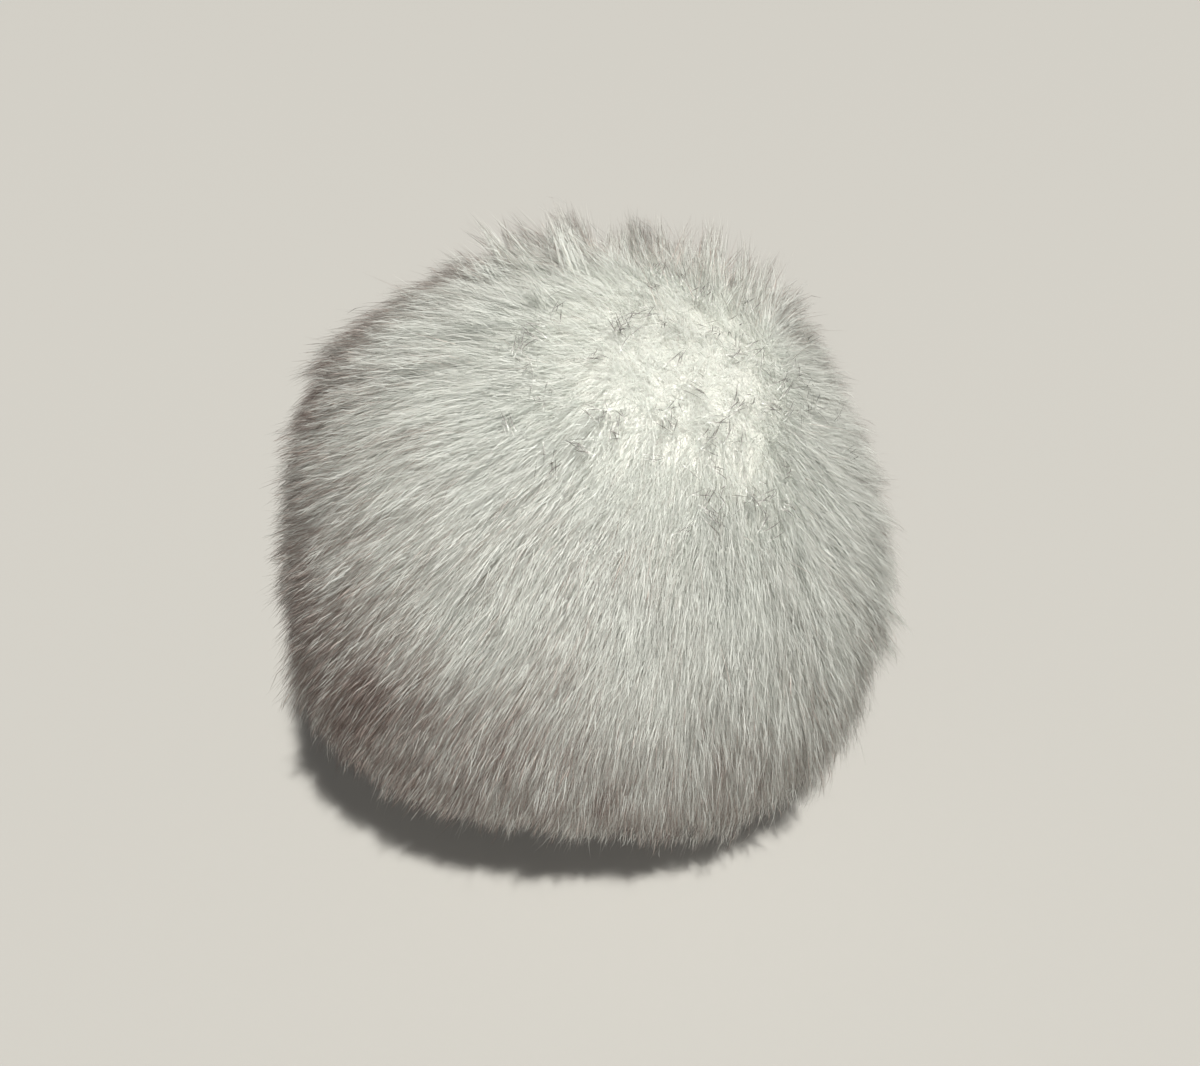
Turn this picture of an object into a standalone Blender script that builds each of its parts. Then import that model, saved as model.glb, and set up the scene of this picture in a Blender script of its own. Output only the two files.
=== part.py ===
"""Faux fur pom pom, standing on the flat spot that its own weight presses into the pile.

Metres, +Z up. The origin is the centre of the flat foot, on the surface that the
pom pom stands on. Its fullest side faces -Y.

The pom pom is one piece: a round of fur fabric, gathered round a soft filling until only
pile shows. The solid is the closed form that the tips of the pile draw. It is a ball,
fuller round its lower side where the pile spreads under the weight, with the soft
shoulders, flats and partings of combed fur.
"""

import math

import bmesh
import bpy
from mathutils import Vector

COLLECTION_NAME = "pom_pom"
NODE_NAME = "fur_ball"

PILE_RADIUS = 0.0605  # middle of the ball to the tips of the pile
CENTRE_HEIGHT = 0.0540  # middle of the ball above the surface it stands on

SKIRT_HEIGHT = 0.0050  # how far the lower pile spreads past PILE_RADIUS
SKIRT_ELEVATION = math.radians(-29.0)
SKIRT_SPREAD = math.radians(19.0)

# Soft lobes (height above zero) and dents (below zero) in the pile.
# name, azimuth from +X in degrees, elevation in degrees, height in metres, spread in degrees
LOBES = (
    ("left_shoulder", 176.0, 31.0, 0.0026, 14.0),
    ("left_flank", -172.0, -2.0, 0.0012, 20.0),
    ("left_lower_corner", -150.0, -19.0, 0.0034, 15.0),
    ("crown_left_dent", 140.0, 64.0, -0.0016, 16.0),
    ("crown_parting", 61.0, 71.0, -0.0052, 11.0),
    ("crown_right_tuft", 17.0, 47.0, 0.0020, 12.0),
    ("right_flat", -3.0, 22.0, -0.0024, 14.0),
    ("right_flank", -21.0, -1.0, 0.0014, 13.0),
    ("right_lower_corner", -46.0, -33.0, 0.0032, 18.0),
    ("front_lower_dent", -100.0, -40.0, -0.0026, 18.0),
    ("front_swell", -84.0, 6.0, 0.0010, 26.0),
    ("back_swell", 84.0, 14.0, 0.0016, 24.0),
    ("back_left_dent", 126.0, -8.0, -0.0014, 16.0),
    ("back_right_dent", 38.0, -12.0, -0.0012, 15.0),
)

SPHERE_SUBDIVISIONS = 5
FOOT_SNAP = 0.0003  # a vertex this near the foot's plane is moved onto it

FUR_COLOUR = (0.60, 0.56, 0.52, 1.0)
FUR_ROUGHNESS = 0.9
FUR_SHEEN = 0.3


def unit_vector(azimuth, elevation):
    """Direction from the ball's middle, in radians round +Z and above the horizon."""
    level = math.cos(elevation)
    return Vector((level * math.cos(azimuth), level * math.sin(azimuth), math.sin(elevation)))


def bell(distance, spread):
    """Smooth bump: 1 at no distance, falling off over the spread."""
    return math.exp(-((distance / spread) ** 2))


def lobe_list():
    """Direction, height and spread in radians of each lobe."""
    lobes = []
    for _name, azimuth, elevation, height, spread in LOBES:
        direction = unit_vector(math.radians(azimuth), math.radians(elevation))
        lobes.append((direction, height, math.radians(spread)))
    return lobes


def pile_radius(direction, lobes):
    """Distance from the ball's middle to the tips of the pile, in one direction."""
    elevation = math.asin(max(-1.0, min(1.0, direction.z)))
    radius = PILE_RADIUS + SKIRT_HEIGHT * bell(elevation - SKIRT_ELEVATION, SKIRT_SPREAD)
    for lobe_direction, height, spread in lobes:
        radius += height * bell(direction.angle(lobe_direction), spread)
    return radius


def press_foot_flat(mesh):
    """Cuts the ball level with the surface it stands on and closes the cut."""
    cut = bmesh.ops.bisect_plane(
        mesh,
        geom=mesh.verts[:] + mesh.edges[:] + mesh.faces[:],
        dist=FOOT_SNAP,
        plane_co=(0.0, 0.0, 0.0),
        plane_no=(0.0, 0.0, 1.0),
        clear_inner=True,
    )
    for piece in cut["geom_cut"]:
        if isinstance(piece, bmesh.types.BMVert):
            piece.co.z = 0.0
    rim = [piece for piece in cut["geom_cut"] if isinstance(piece, bmesh.types.BMEdge)]
    bmesh.ops.contextual_create(mesh, geom=rim)
    bmesh.ops.recalc_face_normals(mesh, faces=mesh.faces[:])


def fur_material():
    """Pale warm grey fur."""
    material = bpy.data.materials.new("fur")
    material.use_nodes = True
    shader = material.node_tree.nodes["Principled BSDF"]
    shader.inputs["Base Color"].default_value = FUR_COLOUR
    shader.inputs["Roughness"].default_value = FUR_ROUGHNESS
    shader.inputs["Metallic"].default_value = 0.0
    shader.inputs["Sheen Weight"].default_value = FUR_SHEEN
    material.diffuse_color = FUR_COLOUR
    return material


def add_fur_ball(collection):
    """The pom pom's one piece, out to the tips of its pile."""
    bpy.ops.mesh.primitive_ico_sphere_add(subdivisions=SPHERE_SUBDIVISIONS, radius=1.0)
    ball = bpy.context.active_object
    ball.name = NODE_NAME
    ball.data.name = NODE_NAME

    lobes = lobe_list()
    middle = Vector((0.0, 0.0, CENTRE_HEIGHT))
    mesh = bmesh.new()
    mesh.from_mesh(ball.data)
    for vertex in mesh.verts:
        direction = vertex.co.normalized()
        vertex.co = middle + direction * pile_radius(direction, lobes)
    press_foot_flat(mesh)
    mesh.to_mesh(ball.data)
    mesh.free()

    ball.data.shade_smooth()
    ball.data.set_sharp_from_angle(angle=math.radians(40.0))
    ball.data.materials.append(fur_material())
    for old_collection in ball.users_collection:
        old_collection.objects.unlink(ball)
    collection.objects.link(ball)
    return ball


def main():
    for scene_object in list(bpy.data.objects):
        bpy.data.objects.remove(scene_object, do_unlink=True)
    collection = bpy.data.collections.new(COLLECTION_NAME)
    bpy.context.scene.collection.children.link(collection)
    add_fur_ball(collection)


main()
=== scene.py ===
"""The looks of the faux fur pom pom: its pile, hair by hair, on a pale studio floor.

Metres, +Z up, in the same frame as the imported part, whose solid fur_ball is the form that
the tips of the pile draw. A white undercoat fills the ball, and the pile grows out of it:
long combed guard hairs, shorter hairs between them and fine white fuzz. The pile is combed
away from a whorl on the upper right. Beside the whorl is a white patch, where the fuzz is
thick and tangled and the combed hairs end lower. Each hair is a narrow ribbon that tapers to
a point.
"""

import math
from collections import namedtuple

import bpy
import numpy as np
from mathutils import Matrix, Vector
from mathutils.bvhtree import BVHTree
from mathutils.kdtree import KDTree


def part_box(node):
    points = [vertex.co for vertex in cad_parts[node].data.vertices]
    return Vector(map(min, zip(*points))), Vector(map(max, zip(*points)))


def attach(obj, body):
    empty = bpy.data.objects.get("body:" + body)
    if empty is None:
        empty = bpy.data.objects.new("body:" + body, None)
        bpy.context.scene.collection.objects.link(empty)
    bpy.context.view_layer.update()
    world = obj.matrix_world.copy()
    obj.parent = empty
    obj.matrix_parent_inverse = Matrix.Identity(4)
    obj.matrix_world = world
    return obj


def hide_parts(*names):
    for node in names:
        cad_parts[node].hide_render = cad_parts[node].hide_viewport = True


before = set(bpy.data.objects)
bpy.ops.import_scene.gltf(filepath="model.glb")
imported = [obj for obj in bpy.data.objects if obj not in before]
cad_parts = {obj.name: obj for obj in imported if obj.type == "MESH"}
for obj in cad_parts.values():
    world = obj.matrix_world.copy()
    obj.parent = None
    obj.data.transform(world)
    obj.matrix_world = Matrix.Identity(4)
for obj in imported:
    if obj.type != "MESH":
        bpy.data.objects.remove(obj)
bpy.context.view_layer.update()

NODE = "fur_ball"

# The ball. Shares are of the distance from its middle to the tips of the pile.
MIDDLE_SHARE = 0.473  # height of the middle, as a share of the ball's height
UNDERCOAT_SHARE = 0.87
UNDERCOAT_ON_PATCH = 0.934
ROOT_SHARE = 0.885
GUARD_SHARE = 1.003  # where most guard hairs end
SUNK_ON_PATCH = 0.042  # how much lower they end on the white patch
SUNK_IN_RAGGED = 0.045  # and between the ragged spikes
FUZZ_ROOT_SHARE = 0.82
FUZZ_ROOT_RISE = 0.08  # how much higher the fuzz is rooted on the white patch
FUZZ_SHARE = 0.930  # where most fuzz ends
FUZZ_RISE = 0.034  # how much higher it ends on the white patch
STRAY_SHARE = 1.01  # where the shortest strays end
STRAY_EXTRA = 0.022  # how much farther out they end on average
STRAY_LIMIT = 1.13
SPIKE_SHARES = (1.02, 1.14)
DARK_TIP_ROOT_SHARES = (0.955, 0.975)
DARK_TIP_SHARES = (0.985, 1.010)
SHORT_DEPTHS = (0.030, 0.055)  # from tip to root
FOOT_TOP = -0.90  # no hairs grow in directions whose height is less than this
UNDERCOAT_GAP = 0.001  # lowest that the undercoat is above the surface that the ball stands on
FOOT_GAP = 0.0003  # lowest that a hair lies above it
FOOT_LAYER = 0.0017  # depth over which the hairs that would go lower are spread

# The lie of the pile, as directions from the ball's middle
WHORL = (0.71, -0.12, 0.70)  # the pile is combed away from here
PATCH = (0.34, -0.43, 0.83)  # middle of the white tangled patch
RAGGED = (0.12, 0.50, 0.86)  # middle of the pile that stands up in spiky tufts
UP = (0.0, 0.0, 1.0)
WHORL_RADIUS = math.radians(15.0)
LEAN_ARC = 0.20  # radians round the ball from a combed hair's root to its tip
SHORT_ARCS = (0.035, 0.080)
DARK_TIP_ARCS = (0.02, 0.07)
GROUP_WEIGHTS = (0.35, 1.0, 0.6)  # how much strands, tufts and locks each turn their hairs

# How far hairs stray off their lines, in metres
SWAY = 0.0004  # from side to side
GUARD_WOBBLE = 0.00025  # at each ring
SHORT_WOBBLE = 0.00018
FUZZ_CURL = 0.0006
GUARD_DRIFT = 0.0010  # at the tip
DARK_TIP_DRIFT = 0.0006
SPIKE_DRIFT = 0.0009
STRAY_DRIFT = 0.0016
SPIKE_SPREAD = 0.0016  # of a spike's hairs at their roots

# Each mark of the white patch is full up to the first of these angles from the patch's middle
# and gone past the second, in degrees.
UNCOMBED_FADE = (4.0, 24.0)
TANGLE_FADE = (6.0, 32.0)
LOOSE_FADE = (15.0, 50.0)
UNDERCOAT_FADE = (16.0, 50.0)
SUNK_FADE = (20.0, 58.0)
DARK_TIP_FADE = (22.0, 42.0)
FUZZ_HEIGHT_FADE = (22.0, 70.0)
CREASE_FADE = (24.0, 50.0)
FUZZ_FADE = (26.0, 66.0)
SOFT_FADE = (26.0, 68.0)

# Where the pile greys, from and to: the angle from the patch's middle, then how far behind and
# how low a direction points. The greying is partly the pile's own grey tips and partly painted
# shade: it darkens the rims far from the patch, and the back, which faces away from the lamps.
GREY_ANGLES = (math.radians(48.0), math.radians(103.0))
PAINTED_SHADE_BEHIND = (-0.28, 0.40)
PALE_LOW_DOWN = (0.05, 0.60)

# Tones, as shares of the way from a white hair to one with the darkest tip
WHITE_TONES = (0.0, 0.12)
DARK_TONES = (0.85, 1.0)
DARK_TIP_TONES = (0.80, 1.0)
FUZZ_TONES = (0.0, 1.0)
STRAY_TONES = (0.2, 0.8)

# How many of each. The short hairs, the fuzz, the spikes and the dark bunches are then thinned
# out where they aren't wanted.
LOCKS = 700
TUFTS = 9000
STRANDS = 36000
MATT_PIECES = 3
MATT_HAIRS = 60000  # in each piece
GLOSSY_HAIRS = 15000
SHORT_HAIRS = 44000
FUZZ_HAIRS = 112000
STRAY_HAIRS = 500
SPIKES = 1500
SPIKE_HAIRS = (24, 60)  # fewest in a spike, and one more than the most
DARK_BUNCHES = 5000
DARK_BUNCH_TIPS = (3, 10)  # fewest in a bunch, and one more than the most

# A kind of hair: its steps from root to tip, its least and greatest width, how it stands (1
# climbs steadily, and less climbs first and then lies over), how much its ribbon turns at each
# ring, how far its shading is softened and how much further on the white patch, and how many
# more of its hairs are white than of the matt ones, as a share.
Hair = namedtuple(
    "Hair", "steps thin thick stand turn soften soften_on_patch more_white", defaults=(0.0, 0.0)
)
MATT = Hair(2, 0.00005, 0.00010, stand=0.6, turn=0.3, soften=0.85, soften_on_patch=0.12)
GLOSSY = Hair(4, 0.00009, 0.00014, stand=0.6, turn=0.9, soften=0.6, soften_on_patch=0.3, more_white=0.15)
SHORT = Hair(2, 0.00008, 0.00013, stand=0.6, turn=0.5, soften=0.7, soften_on_patch=0.22, more_white=0.28)
FUZZ = Hair(3, 0.00010, 0.00018, stand=0.9, turn=0.5, soften=0.95)
DARK_TIP = Hair(3, 0.00012, 0.00020, stand=0.6, turn=0.5, soften=0.8)
SPIKE = Hair(3, 0.00009, 0.00014, stand=1.0, turn=0.5, soften=0.5, more_white=0.1)
STRAY = Hair(3, 0.00009, 0.00014, stand=0.9, turn=0.5, soften=0.5)
RING_CROWDING = 1.08  # above 1, a hair's rings are closer together near its root

UV_MAP = "OFBake"
TONES = 64  # steps of tone from a white hair to a dark tipped one
CELL_LEFT, CELL_MIDDLE, CELL_RIGHT = 0.15, 0.5, 0.85  # across one tone's cell of the UV map

# Colours
WHITE = (0.875, 0.90, 0.872)
PALE_STOPS = (
    (0.0, WHITE),
    (0.70, WHITE),
    (1.0, (0.84, 0.83, 0.79)),
)
DARK_STOPS = (
    (0.0, WHITE),
    (0.32, (0.83, 0.715, 0.665)),
    (0.66, (0.32, 0.235, 0.212)),
    (1.0, (0.12, 0.08, 0.08)),
)
TIP_STOPS = (
    (0.0, WHITE),
    (0.25, (0.48, 0.47, 0.45)),
    (0.50, (0.14, 0.13, 0.125)),
    (1.0, (0.07, 0.065, 0.065)),
)
# The undercoat's white fluff darkened to grey: painted shade of the depths of the pile
UNDERCOAT_SHADE_STOPS = (
    (0.3, (0.56, 0.56, 0.53)),
    (0.7, (0.64, 0.64, 0.61)),
)
FLOOR_COLOUR = (0.46, 0.453, 0.437, 1.0)

# Camera
LENS = 37.2
SENSOR = 36.0
CAMERA_PITCH = math.radians(31.9)
CAMERA_ROLL = math.radians(1.87)
CAMERA_DISTANCE = 0.257
AIM_RIGHT = -0.0105  # where the ball's middle shows, as slopes off the lens axis
AIM_UP = 0.0048

# Light. Directions are from the ball to the lamp.
Lamp = namedtuple("Lamp", "direction strength spread colour")
KEY = Lamp((0.173, -0.416, 0.893), 3.65, math.radians(3.0), (1.0, 0.98, 0.925))
FILL = Lamp((-0.05, -0.88, 0.47), 1.0, math.radians(25.0), (1.0, 0.99, 0.96))
SURROUND_STRENGTH = 0.05
SURROUND_COLOUR = (1.0, 0.98, 0.96, 1.0)
FLOOR_SIZE = 6.0


def unit(v):
    return v / np.maximum(np.linalg.norm(v, axis=-1, keepdims=True), 1e-12)


def dot(a, b):
    return (a * b).sum(-1, keepdims=True)


def smooth(x, low, high):
    """0 below low, 1 above high, and an even S between."""
    t = np.clip((x - low) / (high - low), 0.0, 1.0)
    return t * t * (3.0 - 2.0 * t)


def angle_between(a, b):
    return np.arccos(np.clip(dot(a, b), -1.0, 1.0))


def place(direction):
    """A place on the ball, as a unit vector from its middle."""
    return unit(np.array(direction))


class Form:
    """The form that the tips of the pile draw, as a distance from the ball's middle.

    It is kept as a table of distances, a row for each elevation and a column for each azimuth."""

    STEP = math.radians(1.5)

    def __init__(self, node):
        low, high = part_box(NODE)
        self.middle = np.array([0.0, 0.0, low.z + MIDDLE_SHARE * (high.z - low.z)])
        points = [vertex.co for vertex in node.data.vertices]
        faces = [tuple(face.vertices) for face in node.data.polygons]
        tree = BVHTree.FromPolygons(points, faces)
        rows = int(round(math.pi / self.STEP)) + 1
        columns = int(round(math.tau / self.STEP)) + 1
        self.table = np.zeros((rows, columns))
        middle = Vector(self.middle)
        for row in range(rows):
            elevation = row * self.STEP - math.pi / 2
            level = math.cos(elevation)
            for column in range(columns):
                azimuth = column * self.STEP
                ray = Vector((level * math.cos(azimuth), level * math.sin(azimuth), math.sin(elevation)))
                self.table[row, column] = tree.ray_cast(middle, ray)[3]

    def reach(self, direction):
        """Distance from the middle to the form, in unit directions."""
        row = (np.arcsin(np.clip(direction[..., 2], -1.0, 1.0)) + math.pi / 2) / self.STEP
        column = (np.arctan2(direction[..., 1], direction[..., 0]) % math.tau) / self.STEP
        i = np.minimum(row.astype(int), self.table.shape[0] - 2)
        j = np.minimum(column.astype(int), self.table.shape[1] - 2)
        a, b = row - i, column - j
        table = self.table
        near = table[i, j] * (1 - b) + table[i, j + 1] * b
        far = table[i + 1, j] * (1 - b) + table[i + 1, j + 1] * b
        return near * (1 - a) + far * a


# ---- Fields over the ball. Directions are unit vectors from its middle, (..., 3). ----

def near_patch(direction, inner, outer):
    """1 within the inner angle of the white patch's middle, 0 past the outer, in degrees."""
    angle = angle_between(direction, place(PATCH))
    return 1.0 - smooth(angle, math.radians(inner), math.radians(outer))


def waves(direction, seed, scale):
    """Smooth uneven field, about -1 to 1. Its swells are about 3 / scale radians across."""
    count = 8
    usual_height = 2.4
    rng = np.random.default_rng(seed)
    total = np.zeros(direction.shape[:-1])
    for _ in range(count):
        push = unit(rng.normal(size=3)) * scale * rng.uniform(0.6, 1.6)
        total += np.sin(direction @ push + rng.uniform(0.0, math.tau))
    return (total / usual_height)[..., None]


def creases(direction):
    """1 along the thin wandering partings on the white patch, 0 off them."""
    half_width = 0.13
    line = waves(direction, 21, 20.0) + 0.25 * waves(direction, 22, 60.0)
    return np.exp(-((line / half_width) ** 2)) * near_patch(direction, *CREASE_FADE)


def raggedness(direction):
    """How spiky the pile is: most behind the crown, where it stands up in separate tufts."""
    behind_crown = smooth(dot(direction, place(RAGGED)), 0.60, 0.93)
    return behind_crown * np.clip(0.7 + 0.5 * waves(direction, 41, 5.0), 0.0, 1.3)


def lay_flat(direction, way):
    """The part of a way that runs along the ball's surface, as a unit vector."""
    return unit(way - direction * dot(direction, way))


def comb_centre(direction):
    """Where the pile is combed away from: the whorl, and on the far right the white patch."""
    whorl = place(WHORL)
    far_right = smooth(direction[..., :1], 0.50, 0.90)
    return unit(whorl + (place(PATCH) - whorl) * far_right)


def hang(direction):
    """How much the pile hangs down: not near the top, some on the sides and most below."""
    height = direction[..., 2:]
    on_sides = 1.0 - smooth(height, 0.6, 0.9)
    below_middle = smooth(-height, 0.0, 0.5)
    return 0.45 * on_sides + 0.92 * below_middle


def comb_direction(direction, own_way):
    """Which way the pile lies: away from the whorl and, low on the ball, down.

    On the whorl and on the white patch each tuft lies its own way."""
    centre = comb_centre(direction)
    up = lay_flat(direction, np.array(UP))
    combed = unit(-lay_flat(direction, centre) - hang(direction) * up)
    on_whorl = 1.0 - smooth(angle_between(direction, centre), 0.0, WHORL_RADIUS)
    tangle = 0.12 + 0.7 * near_patch(direction, *TANGLE_FADE) + 0.8 * on_whorl
    way = combed * (1.0 - 0.8 * near_patch(direction, *UNCOMBED_FADE))
    way = lay_flat(direction, way + lay_flat(direction, own_way) * tangle)
    turn = 0.20 * waves(direction, 5, 4.0) + 0.08 * waves(direction, 6, 14.0)
    return way * np.cos(turn) + np.cross(direction, way) * np.sin(turn)


def lean_arc(direction):
    """How far round the ball a hair leans from root to tip: most a quarter turn off the whorl."""
    far = smooth(angle_between(direction, place(WHORL)), math.radians(45.0), math.radians(90.0))
    return LEAN_ARC * (0.68 + 0.32 * far)


def sunk(high, direction):
    """Where combed hairs end, lower on the white patch and between the ragged spikes."""
    on_patch = near_patch(direction, *SUNK_FADE)
    return high - SUNK_ON_PATCH * on_patch - SUNK_IN_RAGGED * raggedness(direction)


# ---- Growing hairs ----

def spiral_directions(count, rng, jitter):
    """Directions spread evenly over the ball, each moved at random by about jitter spacings."""
    i = np.arange(count) + 0.5
    z = 1.0 - 2.0 * i / count
    turn = math.pi * (1.0 + math.sqrt(5.0)) * i
    level = np.sqrt(1.0 - z * z)
    even = np.stack([level * np.cos(turn), level * np.sin(turn), z], -1)
    spacing = math.sqrt(4.0 * math.pi / count)
    return unit(even + rng.normal(0.0, jitter * spacing, even.shape))


def off_the_foot(direction):
    """Which directions miss the foot that the ball stands on."""
    return direction[:, 2] > FOOT_TOP


def thin_out(directions, share, rng):
    """The directions that stay. share is each one's chance of staying."""
    return directions[rng.random(len(directions)) < share]


def between(a, b, share):
    """Directions on the way from a to b round the ball. share is (hairs, rings)."""
    angle = angle_between(a, b)[:, None]
    sine = np.maximum(np.sin(angle), 1e-6)
    share = share[..., None]
    first = np.sin((1.0 - share) * angle) / sine
    last = np.sin(share * angle) / sine
    return unit(first * a[:, None] + last * b[:, None])


def along_hair(points):
    """0 at the root to 1 at the tip, at the rings of points of (hairs, rings, 3)."""
    return np.linspace(0.0, 1.0, points.shape[1])[None, :, None]


def grow(form, tips, way, arc, low, high, hair):
    """Points along hairs that end in the tips' directions: (hairs, rings, 3).

    way is the way that each hair leans, and arc how far round the ball. low and high are the
    shares of the form's reach at root and tip."""
    roots = unit(tips * np.cos(arc) - way * np.sin(arc))
    t = np.linspace(0.0, 1.0, hair.steps + 1)[None, :]
    along = between(roots, tips, np.repeat(t ** RING_CROWDING, len(tips), 0))
    climb = hair.stand * t + (1.0 - hair.stand) * (1.0 - (1.0 - t) ** 2)
    radius = form.reach(along) * (low + (high - low) * climb)
    return form.middle + along * radius[..., None]


class Tufts:
    """Tufts of pile that share a lie, a length and a tone, and come together at their tips.

    spread is how much their lengths differ. gather is the least and most that a tuft's
    hairs come together, and ragged how much more they do where the pile is ragged. tone is
    how much their tones differ."""

    MOST_GATHERED = 0.88

    def __init__(self, form, count, seed, spread, gather, ragged, tone):
        rng = np.random.default_rng(seed)
        centres = spiral_directions(count, rng, 0.45)
        ragged = ragged * raggedness(centres)
        self.own_way = rng.normal(size=(count, 3))
        self.length = rng.normal(0.0, spread, (count, 1)) * (1.0 + 3.0 * ragged)
        self.tone = rng.normal(size=count) * tone
        loose = 1.0 - 0.8 * near_patch(centres, *LOOSE_FADE)[:, 0]
        gathered = rng.uniform(*gather, count) * loose + 0.45 * ragged[:, 0]
        self.gather = np.minimum(gathered, self.MOST_GATHERED)
        self.lean = rng.normal(1.0, 0.14, (count, 1)) * (1.0 - 0.3 * ragged)
        way = comb_direction(centres, self.own_way)
        arc = lean_arc(centres) * self.lean
        high = GUARD_SHARE + self.length
        self.paths = grow(form, centres, way, arc, ROOT_SHARE, high, MATT)
        self.tree = KDTree(count)
        for index, centre in enumerate(centres):
            self.tree.insert(centre, index)
        self.tree.balance()

    def path_points(self, member, rings):
        """Points on the path of each hair's tuft, at the hair's own rings."""
        last = self.paths.shape[1] - 1
        ring = np.linspace(0.0, last, rings)
        before = np.minimum(ring.astype(int), last - 1)
        part = (ring - before)[None, :, None]
        paths = self.paths[member]
        return paths[:, before] * (1.0 - part) + paths[:, before + 1] * part

    def nearest(self, directions):
        """Index of the tuft that each direction falls in."""
        return np.array([self.tree.find(direction)[1] for direction in directions])


def draw_together(points, groups, members, rng):
    """The hairs' points, pulled towards their tufts' paths, the more the nearer to the tip."""
    t = along_hair(points)
    for group, member in zip(groups, members):
        gather = group.gather[member] * rng.uniform(0.5, 1.0, len(points))
        pull = gather[:, None, None] * t ** (1.5 - 0.8 * gather)[:, None, None]
        points = points + (group.path_points(member, points.shape[1]) - points) * pull
    return points


def sway(points, side, rng):
    """The hairs' points, each hair in a slow wave to its sides."""
    swing = rng.normal(0.0, SWAY, len(points))[:, None, None]
    phase = rng.uniform(0.0, math.tau, len(points))[:, None, None]
    return points + side[:, None] * swing * np.sin(4.0 * along_hair(points) + phase)


def wobble(points, amount, rng):
    """The hairs' points, each ring moved a little at random."""
    return points + rng.normal(0.0, amount, points.shape)


def drift(points, amount, rng, bend=2):
    """The hairs' points, each hair bent its own way by about this amount at its tip."""
    return points + rng.normal(0.0, amount, (len(points), 1, 3)) * along_hair(points) ** bend


def keep_above_floor(points, rng):
    lowest = FOOT_GAP + rng.uniform(0.0, FOOT_LAYER, (len(points), 1))
    points[..., 2] = np.maximum(points[..., 2], lowest)
    return points


def ring_widths(hair, count, rng):
    """Each hair's width at its rings: nearly even for half its length, then down to a point."""
    t = np.linspace(0.0, 1.0, hair.steps + 1)
    taper = np.sqrt(np.clip(1.0 - t ** 2.2, 0.0, 1.0))[None, :]
    return rng.uniform(hair.thin, hair.thick, (count, 1)) * taper


def twist(hair, count, rng):
    """Turn of each ribbon about its hair at each ring, so that it glints along its length."""
    whole_hair = rng.uniform(-0.7, 0.7, (count, 1))
    each_ring = rng.normal(0.0, hair.turn, (count, hair.steps + 1))
    return np.clip(whole_hair + each_ring, -1.3, 1.3)


def softening(hair, tips):
    """How far each hair shades as the ball does, rather than as its own ribbon."""
    return hair.soften + hair.soften_on_patch * near_patch(tips, *SOFT_FADE)


# ---- Tones. 0 is a white hair, TONES - 1 the one with the darkest tip. ----

def even_tones(shares, count, rng):
    """Tones spread evenly between two shares of the whole range."""
    return np.round(rng.uniform(*shares, count) * (TONES - 1))


def grey_and_painted_shade(tips):
    """0 on and round the white patch, 1 far round the ball: partly the pile's own grey tips,
    partly painted shade towards the rims. It is more behind, as painted shade on the back, and
    less low down.
    """
    away = smooth(angle_between(tips, place(PATCH))[:, 0], *GREY_ANGLES)
    # painted shade on the back, which faces away from the lamps
    behind = smooth(tips[:, 1], *PAINTED_SHADE_BEHIND)
    low_down = smooth(0.1 * tips[:, 0] - tips[:, 2], *PALE_LOW_DOWN)
    return np.clip(away + 0.50 * behind - 0.32 * low_down, 0.0, 1.1)


def guard_tones(tips, shared_tone, hair, rng):
    """Tone of each combed hair: white near the patch, more of them grey tipped farther off. The
    greying is partly painted shade of the rims and the back.
    """
    n = len(tips)
    away = grey_and_painted_shade(tips)
    mottled = 0.07 * waves(tips, 9, 6.0)[:, 0] + 0.05 * waves(tips, 10, 15.0)[:, 0] + shared_tone
    white = rng.random(n) < 0.95 - 0.80 * away - mottled + hair.more_white
    dark = rng.random(n) < 0.31 * away * smooth(away, 0.0, 0.5)
    grey_tone = 0.24 + 0.68 * away + mottled + rng.normal(0.0, 0.14, n)
    share = np.where(white, rng.uniform(*WHITE_TONES, n), np.clip(grey_tone, 0.0, 0.95))
    share = np.where(dark, rng.uniform(*DARK_TONES, n), share)
    return np.round(share * (TONES - 1))


# ---- The pieces of the pile ----

def guard_hairs(form, groups, seed, count, hair, material, name):
    """One piece of the long combed hairs that the ball's surface is made of.

    groups are the tufts that the hairs belong to, from the finest strands to broad locks."""
    rng = np.random.default_rng(seed)
    tips = spiral_directions(count, rng, 0.6)
    tips = tips[off_the_foot(tips)]
    n = len(tips)
    members = [group.nearest(tips) for group in groups]
    own_way = rng.normal(0.0, 0.6, (n, 3))
    arc = lean_arc(tips) * rng.normal(1.0, 0.12, (n, 1))
    high = sunk(GUARD_SHARE + rng.normal(0.0, 0.014, (n, 1)), tips)
    for group, member, weight in zip(groups, members, GROUP_WEIGHTS):
        own_way = own_way + weight * group.own_way[member]
        arc = arc * group.lean[member]
        high = high + group.length[member]
    way = comb_direction(tips, own_way)
    points = grow(form, tips, way, arc, ROOT_SHARE, high, hair)
    points = draw_together(points, groups, members, rng)
    points = sway(points, np.cross(tips, way), rng)
    points = wobble(points, GUARD_WOBBLE, rng)
    points = drift(points, GUARD_DRIFT, rng, bend=1.6)
    points = keep_above_floor(points, rng)
    widths = ring_widths(hair, n, rng)
    shared_tone = sum(group.tone[member] for group, member in zip(groups, members))
    tone = guard_tones(tips, shared_tone, hair, rng)
    roll = twist(hair, n, rng)
    return make_hairs(form, name, points, widths, roll, tone, softening(hair, tips), material)


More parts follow.
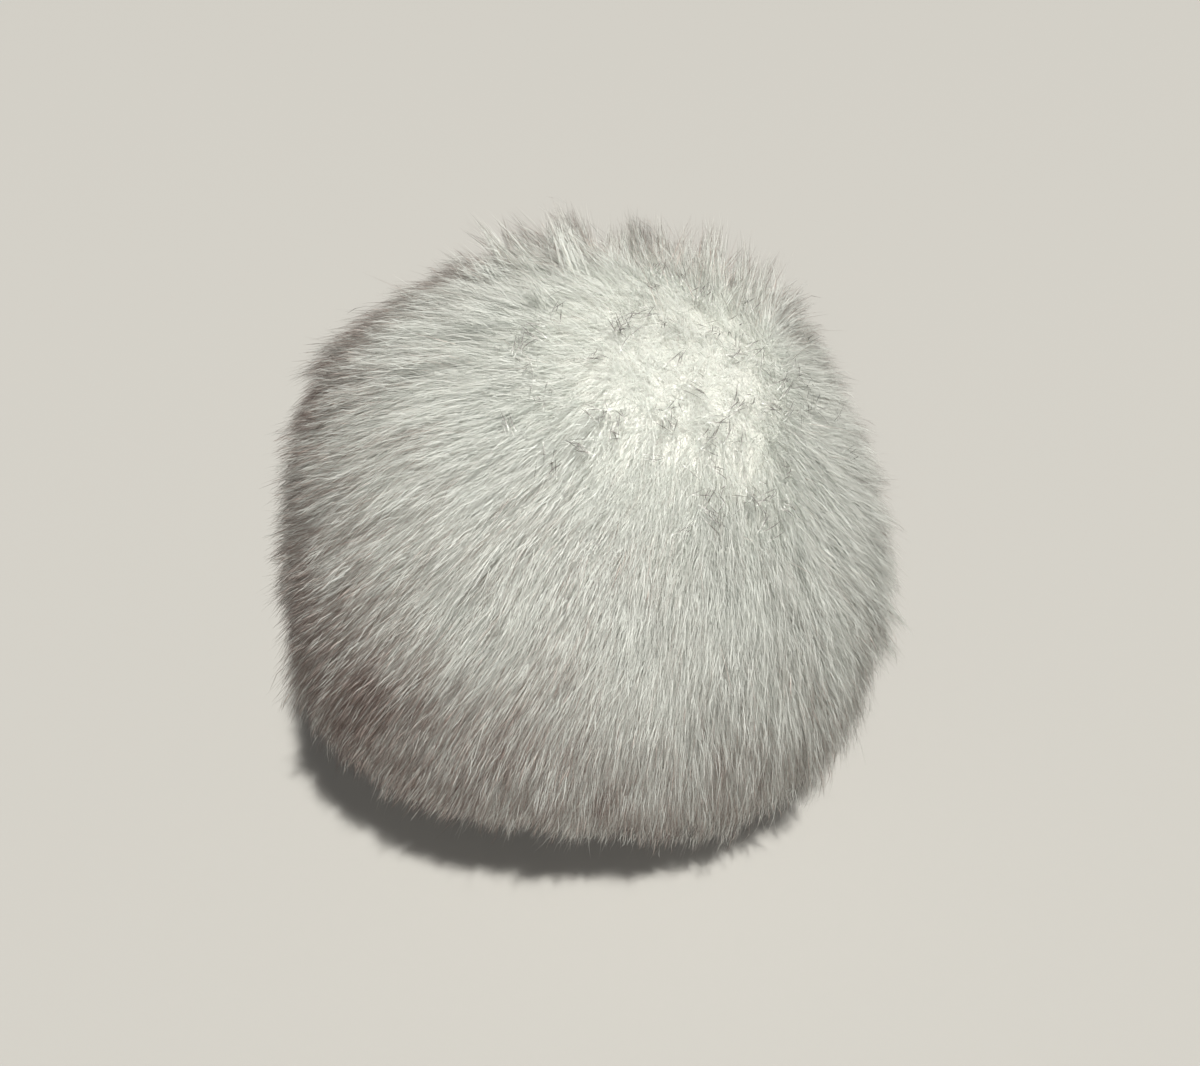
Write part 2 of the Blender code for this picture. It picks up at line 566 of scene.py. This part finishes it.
def short_hairs(form, groups, seed, material, name):
    """Short fine hairs whose bright tips catch the light all over the combed pile."""
    rng = np.random.default_rng(seed)
    tips = spiral_directions(SHORT_HAIRS, rng, 0.8)
    wanted = 1.0 - 0.8 * near_patch(tips, *LOOSE_FADE)[:, 0]
    tips = thin_out(tips, wanted * off_the_foot(tips), rng)
    n = len(tips)
    own_way = rng.normal(0.0, 0.8, (n, 3))
    high = sunk(GUARD_SHARE - 0.003 + rng.normal(0.0, 0.008, (n, 1)), tips)
    shared_tone = 0.0
    for group in groups:
        member = group.nearest(tips)
        own_way = own_way + 0.6 * group.own_way[member]
        high = high + group.length[member]
        shared_tone = shared_tone + group.tone[member]
    way = comb_direction(tips, own_way)
    arc = rng.uniform(*SHORT_ARCS, (n, 1))
    low = high - rng.uniform(*SHORT_DEPTHS, (n, 1))
    points = grow(form, tips, way, arc, low, high, SHORT)
    points = wobble(points, SHORT_WOBBLE, rng)
    points = keep_above_floor(points, rng)
    widths = ring_widths(SHORT, n, rng)
    tone = guard_tones(tips, shared_tone, SHORT, rng)
    roll = twist(SHORT, n, rng)
    return make_hairs(form, name, points, widths, roll, tone, softening(SHORT, tips), material)


def fuzz_hairs(form, seed, material, name):
    """The fine white curly hairs of the undercoat, thickest on the white patch."""
    rng = np.random.default_rng(seed)
    tips = spiral_directions(FUZZ_HAIRS, rng, 0.6)
    wanted = 0.08 + 0.92 * near_patch(tips, *FUZZ_FADE)[:, 0]
    tips = thin_out(tips, wanted * off_the_foot(tips), rng)
    n = len(tips)
    near = near_patch(tips, *FUZZ_HEIGHT_FADE)
    low = FUZZ_ROOT_SHARE + FUZZ_ROOT_RISE * near
    uneven = rng.normal(0.0, 0.012 - 0.004 * near, (n, 1))
    high = FUZZ_SHARE + FUZZ_RISE * near + uneven
    high = high - 0.008 * creases(tips) - 0.03 * raggedness(tips)
    way = comb_direction(tips, rng.normal(size=(n, 3)))
    arc = lean_arc(tips) * rng.normal(0.8, 0.3, (n, 1))
    points = grow(form, tips, way, arc, low, high, FUZZ)
    curl = np.cumsum(rng.normal(0.0, FUZZ_CURL, points.shape), 1)
    points = points + curl * along_hair(points)
    points = keep_above_floor(points, rng)
    widths = ring_widths(FUZZ, n, rng)
    tone = even_tones(FUZZ_TONES, n, rng)
    roll = twist(FUZZ, n, rng)
    return make_hairs(form, name, points, widths, roll, tone, softening(FUZZ, tips), material)


def dark_tips(form, seed, material, name):
    """Thin dark hair tips that lie in small tangled bunches over the white patch. Most lie along
    its partings, where their dark marks also paint the shade of the partings.
    """
    rng = np.random.default_rng(seed)
    bunches = spiral_directions(DARK_BUNCHES, rng, 0.8)
    # bunches gather along the partings: real dark tips, and painted shade of the partings
    wanted = near_patch(bunches, *DARK_TIP_FADE)[:, 0] * (0.12 + 0.88 * creases(bunches)[:, 0])
    bunches = thin_out(bunches, wanted, rng)
    bunch_way = rng.normal(size=bunches.shape)
    members = rng.integers(*DARK_BUNCH_TIPS, len(bunches))
    bunch = np.repeat(np.arange(len(bunches)), members)
    n = len(bunch)
    tips = unit(bunches[bunch] + rng.normal(0.0, 0.012, (n, 3)))
    way = lay_flat(tips, bunch_way[bunch] + rng.normal(0.0, 0.45, (n, 3)))
    arc = rng.uniform(*DARK_TIP_ARCS, (n, 1))
    low = rng.uniform(*DARK_TIP_ROOT_SHARES, (n, 1))
    high = rng.uniform(*DARK_TIP_SHARES, (n, 1))
    points = grow(form, tips, way, arc, low, high, DARK_TIP)
    points = drift(points, DARK_TIP_DRIFT, rng)
    widths = ring_widths(DARK_TIP, n, rng)
    tone = even_tones(DARK_TIP_TONES, n, rng)
    roll = 0.4 * twist(DARK_TIP, n, rng)
    return make_hairs(form, name, points, widths, roll, tone, softening(DARK_TIP, tips), material)


def crown_spikes(form, seed, material, name):
    """The long pile behind the crown, that stands up in spiky tufts with gaps between them."""
    rng = np.random.default_rng(seed)
    spikes = spiral_directions(SPIKES, rng, 0.9)
    spikes = thin_out(spikes, raggedness(spikes)[:, 0], rng)
    count = len(spikes)
    way = comb_direction(spikes, rng.normal(size=(count, 3)))
    way = unit(way + np.cross(spikes, way) * rng.normal(0.0, 0.35, (count, 1)))
    arc = lean_arc(spikes) * rng.uniform(0.2, 0.9, (count, 1))
    high = rng.uniform(*SPIKE_SHARES, (count, 1))
    paths = grow(form, spikes, way, arc, ROOT_SHARE, high, SPIKE)
    spike = np.repeat(np.arange(count), rng.integers(*SPIKE_HAIRS, count))
    n = len(spike)
    t = along_hair(paths)
    root_offset = rng.normal(0.0, SPIKE_SPREAD, (n, 1, 3))
    shorter = 0.35 * rng.exponential(0.10, (n, 1, 1))
    points = paths[spike] + root_offset * (1.0 - 0.85 * t)
    points = form.middle + (points - form.middle) * (1.0 - shorter * t)
    points = drift(points, SPIKE_DRIFT, rng)
    widths = ring_widths(SPIKE, n, rng)
    tone = guard_tones(spikes[spike], 0.0, SPIKE, rng)
    roll = twist(SPIKE, n, rng)
    soften = softening(SPIKE, spikes[spike])
    return make_hairs(form, name, points, widths, roll, tone, soften, material)


def stray_hairs(form, seed, material, name):
    """Single long hairs that stand out past the rest of the pile."""
    rng = np.random.default_rng(seed)
    tips = spiral_directions(STRAY_HAIRS, rng, 1.0)
    tips = tips[off_the_foot(tips)]
    n = len(tips)
    way = comb_direction(tips, rng.normal(size=(n, 3)))
    arc = lean_arc(tips) * rng.normal(0.7, 0.3, (n, 1))
    longer = 0.45 + 0.55 * smooth(tips[:, 2:], -0.4, 0.2) + raggedness(tips)
    high = np.minimum(STRAY_SHARE + rng.exponential(STRAY_EXTRA, (n, 1)) * longer, STRAY_LIMIT)
    points = grow(form, tips, way, arc, ROOT_SHARE, high, STRAY)
    points = drift(points, STRAY_DRIFT, rng)
    points = keep_above_floor(points, rng)
    widths = ring_widths(STRAY, n, rng)
    tone = even_tones(STRAY_TONES, n, rng)
    roll = twist(STRAY, n, rng)
    return make_hairs(form, name, points, widths, roll, tone, softening(STRAY, tips), material)


def undercoat(form):
    """The dense white undercoat that the hairs stand in, as a closed lumpy ball. Its colour
    is painted shade of the depths of the pile.
    """
    bpy.ops.mesh.primitive_ico_sphere_add(subdivisions=5, radius=1.0)
    ball = bpy.context.active_object
    ball.name = "pile_undercoat"
    co = np.empty(len(ball.data.vertices) * 3)
    ball.data.vertices.foreach_get("co", co)
    direction = unit(co.reshape(-1, 3))
    rng = np.random.default_rng(3)
    near = near_patch(direction, *UNDERCOAT_FADE)
    share = UNDERCOAT_SHARE + (UNDERCOAT_ON_PATCH - UNDERCOAT_SHARE) * near
    share = share - 0.020 * raggedness(direction)
    lumps = 0.003 * (1.0 - 0.6 * near)
    share = share + lumps * waves(direction, 31, 20.0) + rng.normal(0.0, 0.0012, near.shape)
    share = share - 0.004 * creases(direction)
    points = form.middle + direction * form.reach(direction)[:, None] * share
    points[:, 2] = np.maximum(points[:, 2], UNDERCOAT_GAP)
    ball.data.vertices.foreach_set("co", points.reshape(-1))
    ball.data.shade_smooth()
    ball.data.materials.append(undercoat_material())
    return ball


# ---- Meshes. A ribbon has two corners at each ring but the last, and one at its tip. ----

def ribbon_corners(left, right, tip):
    """Values at each ribbon's corners, from those at all its rings: (hairs, corners, ...)."""
    hairs, rings, parts = left.shape
    values = np.empty((hairs, 2 * rings - 1, parts))
    values[:, 0:-1:2] = left[:, :-1]
    values[:, 1:-1:2] = right[:, :-1]
    values[:, -1] = tip[:, -1]
    return values


def ribbon_uv(tone, rings):
    """U is the tone, inside its own cell of the map, and V runs from root to tip."""
    height = np.broadcast_to(np.linspace(0.0, 1.0, rings), (len(tone), rings))
    sides = []
    for across in (CELL_LEFT, CELL_RIGHT, CELL_MIDDLE):
        u = np.broadcast_to(((tone + across) / TONES)[:, None], height.shape)
        sides.append(np.stack([u, height], -1))
    return ribbon_corners(*sides)


def ribbon_faces(hairs, rings):
    """One ribbon's face corners, those of all ribbons in one row, and where each face starts."""
    faces = rings - 1
    tip = 2 * faces
    quads = [(2 * k, 2 * k + 2, 2 * k + 3, 2 * k + 1) for k in range(faces - 1)]
    ribbon = np.array([corner for quad in quads for corner in quad] + [tip - 2, tip, tip - 1])
    hair = np.arange(hairs)[:, None]
    loops = (hair * (tip + 1) + ribbon).reshape(-1)
    starts = (hair * len(ribbon) + np.arange(faces) * 4).reshape(-1)
    return ribbon, loops, starts


def ribbon_mesh(name, verts, normals, uv, rings):
    ribbon, loops, starts = ribbon_faces(len(verts), rings)
    mesh = bpy.data.meshes.new(name)
    mesh.vertices.add(verts.shape[0] * verts.shape[1])
    mesh.vertices.foreach_set("co", verts.astype(np.float32).reshape(-1))
    mesh.loops.add(len(loops))
    mesh.loops.foreach_set("vertex_index", loops.astype(np.int32))
    mesh.polygons.add(len(starts))
    mesh.polygons.foreach_set("loop_start", starts.astype(np.int32))
    mesh.update(calc_edges=True)
    layer = mesh.uv_layers.new(name=UV_MAP)
    layer.data.foreach_set("uv", uv[:, ribbon].astype(np.float32).reshape(-1))
    mesh.shade_smooth()
    mesh.normals_split_custom_set_from_vertices(normals.reshape(-1, 3).astype(np.float32))
    return mesh


def make_hairs(form, name, points, widths, roll, tone, soften, material):
    """A piece made of ribbons along the hairs' points.

    roll turns a ribbon about its hair at each ring. soften blends its normals towards the
    ball's own, so that the pile shades as one soft round."""
    along = unit(np.gradient(points, axis=1))
    out = unit(points - form.middle)
    side = unit(np.cross(out + 1e-4, along))
    lift = np.cross(along, side)
    roll = roll[..., None]
    across = np.cos(roll) * side + np.sin(roll) * lift
    soften = soften[..., None]
    shine = unit(np.cross(along, across) * (1.0 - soften) + out * soften)
    half = 0.5 * widths[..., None] * across
    rings = points.shape[1]
    verts = ribbon_corners(points - half, points + half, points)
    normals = ribbon_corners(shine, shine, shine)
    mesh = ribbon_mesh(name, verts, normals, ribbon_uv(tone, rings), rings)
    mesh.materials.append(material)
    piece = bpy.data.objects.new(name, mesh)
    bpy.context.scene.collection.objects.link(piece)
    return piece


# ---- Materials ----

def new_material(name):
    material = bpy.data.materials.new(name)
    material.use_nodes = True
    return material, material.node_tree, material.node_tree.nodes["Principled BSDF"]


def math_node(tree, operation, feed, value):
    node = tree.nodes.new("ShaderNodeMath")
    node.operation = operation
    node.inputs[1].default_value = value
    tree.links.new(feed, node.inputs[0])
    return node.outputs[0]


def ramp_node(tree, feed, stops):
    ramp = tree.nodes.new("ShaderNodeValToRGB")
    elements = ramp.color_ramp.elements
    elements[0].position = stops[0][0]
    elements[0].color = (*stops[0][1], 1.0)
    elements[1].position = stops[-1][0]
    elements[1].color = (*stops[-1][1], 1.0)
    for position, colour in stops[1:-1]:
        elements.new(position).color = (*colour, 1.0)
    tree.links.new(feed, ramp.inputs[0])
    return ramp.outputs["Color"]


def mix_node(tree, blend, factor, a, b):
    mix = tree.nodes.new("ShaderNodeMix")
    mix.data_type = "RGBA"
    mix.blend_type = blend
    tree.links.new(factor, mix.inputs["Factor"])
    tree.links.new(a, mix.inputs["A"])
    tree.links.new(b, mix.inputs["B"])
    return mix.outputs["Result"]


def tone_and_painted_glints(tree, cell, height, least, most):
    """Light and dark along a hair, different from tone to tone: partly uneven tone and partly
    painted glints, short bright dashes in place of light glancing off the fibre.
    """
    cell_step = 13.7
    height_step = 15.0
    place_on_hair = tree.nodes.new("ShaderNodeCombineXYZ")
    tree.links.new(math_node(tree, "MULTIPLY", cell, cell_step), place_on_hair.inputs["X"])
    tree.links.new(math_node(tree, "MULTIPLY", height, height_step), place_on_hair.inputs["Y"])
    noise = tree.nodes.new("ShaderNodeTexNoise")
    noise.noise_dimensions = "2D"
    noise.inputs["Scale"].default_value = 1.0
    noise.inputs["Detail"].default_value = 1.0
    tree.links.new(place_on_hair.outputs[0], noise.inputs["Vector"])
    tone = tree.nodes.new("ShaderNodeMapRange")
    tone.inputs["From Min"].default_value = 0.36
    tone.inputs["From Max"].default_value = 0.64
    tone.inputs["To Min"].default_value = least
    tone.inputs["To Max"].default_value = most
    tree.links.new(noise.outputs[0], tone.inputs["Value"])
    return tone.outputs["Result"]


def hair_colour(tree, dark_stops, uneven):
    """Colour of a hair, read off the UV map alone: its tone from U and the place on it from V."""
    uv = tree.nodes.new("ShaderNodeUVMap")
    uv.uv_map = UV_MAP
    split = tree.nodes.new("ShaderNodeSeparateXYZ")
    tree.links.new(uv.outputs[0], split.inputs[0])
    cell = math_node(tree, "FLOOR", math_node(tree, "MULTIPLY", split.outputs["X"], TONES), 0.0)
    grey = math_node(tree, "DIVIDE", cell, TONES - 1.0)
    pale = ramp_node(tree, split.outputs["Y"], PALE_STOPS)
    dark = ramp_node(tree, split.outputs["Y"], dark_stops)
    fibre = mix_node(tree, "MIX", grey, pale, dark)
    strength = tree.nodes.new("ShaderNodeMapRange")
    strength.inputs["To Min"].default_value = 0.25
    tree.links.new(grey, strength.inputs["Value"])
    # uneven tone along the hair, partly painted glints; weaker on white hairs than on grey ones
    tone = tone_and_painted_glints(tree, cell, split.outputs["Y"], *uneven)
    return mix_node(tree, "MULTIPLY", strength.outputs["Result"], fibre, tone)


def hair_material(name, dark_stops, uneven, roughness, gloss, glow):
    """White fibre that greys towards its tip. uneven is the least and most of its tone along a
    hair, whose bright dashes are partly painted glints, and glow the share of light that passes
    through it."""
    material, tree, shader = new_material(name)
    colour = hair_colour(tree, dark_stops, uneven)
    tree.links.new(colour, shader.inputs["Base Color"])
    shader.inputs["Roughness"].default_value = roughness
    shader.inputs["Specular IOR Level"].default_value = gloss
    through = tree.nodes.new("ShaderNodeBsdfTranslucent")
    tree.links.new(colour, through.inputs["Color"])
    blend = tree.nodes.new("ShaderNodeMixShader")
    blend.inputs["Fac"].default_value = glow
    tree.links.new(shader.outputs[0], blend.inputs[1])
    tree.links.new(through.outputs[0], blend.inputs[2])
    tree.links.new(blend.outputs[0], tree.nodes["Material Output"].inputs["Surface"])
    return material


def undercoat_material():
    """Matt white fluff, darkened to grey as painted shade of the depths of the pile."""
    material, tree, shader = new_material("undercoat_shaded_fluff")
    position = tree.nodes.new("ShaderNodeTexCoord")
    noise = tree.nodes.new("ShaderNodeTexNoise")
    noise.inputs["Scale"].default_value = 900.0
    noise.inputs["Detail"].default_value = 4.0
    tree.links.new(position.outputs["Object"], noise.inputs["Vector"])
    colour = ramp_node(tree, noise.outputs[0], UNDERCOAT_SHADE_STOPS)
    tree.links.new(colour, shader.inputs["Base Color"])
    shader.inputs["Roughness"].default_value = 0.95
    bump = tree.nodes.new("ShaderNodeBump")
    bump.inputs["Strength"].default_value = 0.3
    bump.inputs["Distance"].default_value = 0.0006
    tree.links.new(noise.outputs[0], bump.inputs["Height"])
    tree.links.new(bump.outputs[0], shader.inputs["Normal"])
    return material


# ---- Studio ----

def add_floor():
    bpy.ops.mesh.primitive_plane_add(size=FLOOR_SIZE)
    floor = bpy.context.active_object
    floor.name = "studio_floor"
    material, _tree, shader = new_material("studio_floor")
    shader.inputs["Base Color"].default_value = FLOOR_COLOUR
    shader.inputs["Roughness"].default_value = 0.9
    floor.data.materials.append(material)


def add_camera(middle):
    """Looks down on the front at the pitch given, with the ball's middle near the lens axis."""
    forward = Vector((0.0, math.cos(CAMERA_PITCH), -math.sin(CAMERA_PITCH)))
    up = Vector((0.0, math.sin(CAMERA_PITCH), math.cos(CAMERA_PITCH)))
    right = Vector((1.0, 0.0, 0.0))
    rolled_up = math.cos(CAMERA_ROLL) * up + math.sin(CAMERA_ROLL) * right
    rolled_right = math.cos(CAMERA_ROLL) * right - math.sin(CAMERA_ROLL) * up
    toward = (forward + AIM_RIGHT * rolled_right + AIM_UP * rolled_up).normalized()
    data = bpy.data.cameras.new("camera")
    data.lens = LENS
    data.sensor_width = SENSOR
    data.clip_start = 0.01
    camera = bpy.data.objects.new("camera", data)
    bpy.context.scene.collection.objects.link(camera)
    turn = Matrix((rolled_right, rolled_up, -forward)).transposed()
    position = Vector(middle) - CAMERA_DISTANCE * toward
    camera.matrix_world = Matrix.Translation(position) @ turn.to_4x4()
    bpy.context.scene.camera = camera


def add_sun(name, middle, lamp):
    """A lamp of even light from one direction, as wide as its spread looks."""
    sun = bpy.data.lights.new(name, "SUN")
    sun.angle = lamp.spread
    sun.energy = lamp.strength
    sun.color = lamp.colour
    direction = Vector(lamp.direction).normalized()
    holder = bpy.data.objects.new(name, sun)
    holder.location = Vector(middle) + direction
    holder.rotation_euler = direction.to_track_quat("Z", "Y").to_euler()
    bpy.context.scene.collection.objects.link(holder)


def add_lights(middle):
    """A key lamp high in front, a broad soft fill from the front and a pale surround."""
    add_sun("key", middle, KEY)
    add_sun("fill", middle, FILL)
    world = bpy.data.worlds.new("studio")
    world.use_nodes = True
    background = world.node_tree.nodes["Background"]
    background.inputs["Color"].default_value = SURROUND_COLOUR
    background.inputs["Strength"].default_value = SURROUND_STRENGTH
    bpy.context.scene.world = world


def part_of_ball(piece):
    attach(piece, "root")
    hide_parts("fur_ball")


form = Form(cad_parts[NODE])

core = undercoat(form)
part_of_ball(core)

matt = hair_material("guard_hair", DARK_STOPS, uneven=(0.70, 1.10), roughness=0.5, gloss=0.25, glow=0.42)
glossy = hair_material("glossy_hair", DARK_STOPS, uneven=(0.72, 1.10), roughness=0.35, gloss=0.4, glow=0.3)
short = hair_material("short_hair", DARK_STOPS, uneven=(0.88, 1.06), roughness=0.35, gloss=0.4, glow=0.3)
fuzz = hair_material("fuzz_hair", PALE_STOPS, uneven=(0.94, 0.98), roughness=0.8, gloss=0.1, glow=0.58)
dull = hair_material("dull_tips", TIP_STOPS, uneven=(0.8, 1.1), roughness=0.8, gloss=0.2, glow=0.1)

strands = Tufts(form, STRANDS, seed=12, spread=0.008, gather=(0.0, 0.15), ragged=0.0, tone=0.03)
tufts = Tufts(form, TUFTS, seed=11, spread=0.014, gather=(0.05, 0.45), ragged=0.8, tone=0.11)
locks = Tufts(form, LOCKS, seed=13, spread=0.012, gather=(0.0, 0.18), ragged=1.2, tone=0.07)
groups = (strands, tufts, locks)

for index in range(MATT_PIECES):
    name = f"pile_guard_{index + 1}"
    part_of_ball(guard_hairs(form, groups, 100 + index, MATT_HAIRS, MATT, matt, name))
part_of_ball(guard_hairs(form, groups, 110, GLOSSY_HAIRS, GLOSSY, glossy, "pile_glossy"))
part_of_ball(short_hairs(form, groups, 120, short, "pile_short"))
part_of_ball(fuzz_hairs(form, 50, fuzz, "pile_fuzz"))
part_of_ball(dark_tips(form, 60, dull, "pile_whorl_tips"))
part_of_ball(crown_spikes(form, 65, matt, "pile_crown_spikes"))
part_of_ball(stray_hairs(form, 70, matt, "pile_strays"))

add_floor()
add_camera(form.middle)
add_lights(form.middle)
bpy.context.scene.view_settings.view_transform = "Standard"
bpy.context.scene.view_settings.look = "Medium High Contrast"
